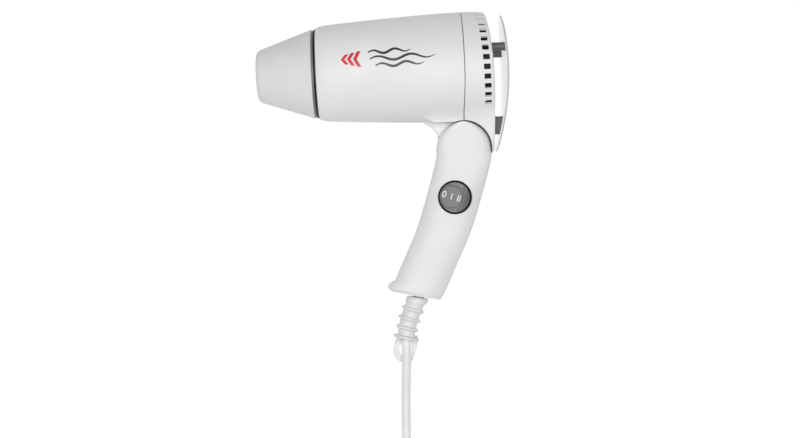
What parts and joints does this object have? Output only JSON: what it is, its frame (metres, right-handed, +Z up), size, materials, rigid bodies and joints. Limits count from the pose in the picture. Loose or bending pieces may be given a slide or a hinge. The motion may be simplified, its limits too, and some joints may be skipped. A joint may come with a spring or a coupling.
{
  "type": "hair dryer",
  "caption": "Folding hair dryer with a tapered barrel, push-on cone nozzle, domed rear guard, curved handle with a round rocker switch, ribbed strain relief and a coiled lead.",
  "frame": {"origin": "centre of the dryer's box, without its cord, on the table it lies on", "axes": "-X the way the nozzle blows, -Y from the barrel to the end of the handle, +Z up from the table; the dryer lies on its right side, rolled 8.10 degrees about the barrel's axis so that the handle's end rests on the table"},
  "size_m": [0.1802, 0.4515, 0.0786],
  "materials": {
    "white_shell": "smooth, softly glossy moulding",
    "nozzle_grey": "satin moulding",
    "guard_grey": "satin moulding",
    "black_plastic": "fine matt moulding",
    "rocker_grey": "fine matt moulding with pale marks",
    "post_grey": "matt moulding",
    "relief_white": "soft moulded sleeve",
    "cord_white": "smooth flexible sheath",
    "mica": "flaky pressed mica sheet",
    "heating_wire": "drawn resistance wire",
    "steel": "zinc plated or nickel plated",
    "brass": "stamped sheet",
    "copper": "enamelled copper winding",
    "circuit_board": "solder mask",
    "brown_wire": "insulation",
    "blue_wire": "insulation"
  },
  "bodies": {
    "handle": {"handle_left_shell": "white_shell", "handle_right_shell": "white_shell", "handle_screw_upper": "steel", "handle_screw_middle": "steel", "hinge_pin": "steel", "hinge_washer_left": "steel", "hinge_washer_right": "steel", "switch_bezel": "black_plastic", "switch_body": "black_plastic", "switch_terminal_1": "brass", "switch_terminal_2": "brass", "switch_terminal_3": "brass", "strain_relief": "relief_white", "cord_inner": "cord_white", "cord_clamp": "black_plastic", "clamp_screw_front": "steel", "clamp_screw_rear": "steel", "wire_brown": "brown_wire", "wire_blue": "blue_wire", "cord": "cord_white", "cord_coil": "cord_white", "cord_tail": "cord_white", "cord_tie": "black_plastic", "plug_body": "cord_white", "plug_pin_left": "steel", "plug_pin_right": "steel"},
    "head": {"barrel_shell": "white_shell", "rear_housing": "white_shell", "rear_guard": "guard_grey", "post_upper_left": "post_grey", "post_upper_right": "post_grey", "post_lower": "post_grey", "front_ring": "black_plastic", "outlet_grille": "black_plastic", "heat_tube": "mica", "mica_board_upright": "mica", "mica_board_flat": "mica", "heater_coil_high": "heating_wire", "heater_coil_low": "heating_wire", "thermostat": "steel", "thermal_fuse": "steel", "motor_mount": "black_plastic", "motor_can": "steel", "magnet_upper": "black_plastic", "magnet_lower": "black_plastic", "motor_cap": "black_plastic", "rectifier_board": "circuit_board", "inlet_screen": "black_plastic"},
    "nozzle": {"nozzle": "nozzle_grey"},
    "rotor": {"motor_shaft": "steel", "armature": "copper", "fan": "black_plastic"},
    "rocker": {"switch_rocker": "rocker_grey"}
  },
  "joints": [
    {"name": "handle_fold", "type": "hinge", "parent": "handle", "child": "head", "pos_m": [0.0552, 0.02597, 0.03098], "axis": [0, -0.1409, 0.99], "range_deg": [0, 70]},
    {"name": "nozzle_pull", "type": "slide", "parent": "head", "child": "nozzle", "axis": [-1, 0, 0], "range_m": [0, 0.025]},
    {"name": "fan_spin", "type": "hinge", "parent": "head", "child": "rotor", "pos_m": [0.0564, 0.08443, 0.0393], "axis": [1, 0, 0], "continuous": true},
    {"name": "rocker_tip", "type": "hinge", "parent": "handle", "child": "rocker", "pos_m": [0.047, -0.01019, 0.042], "axis": [0.3322, 0.9338, 0.1329], "range_deg": [0, 20]}
  ]
}
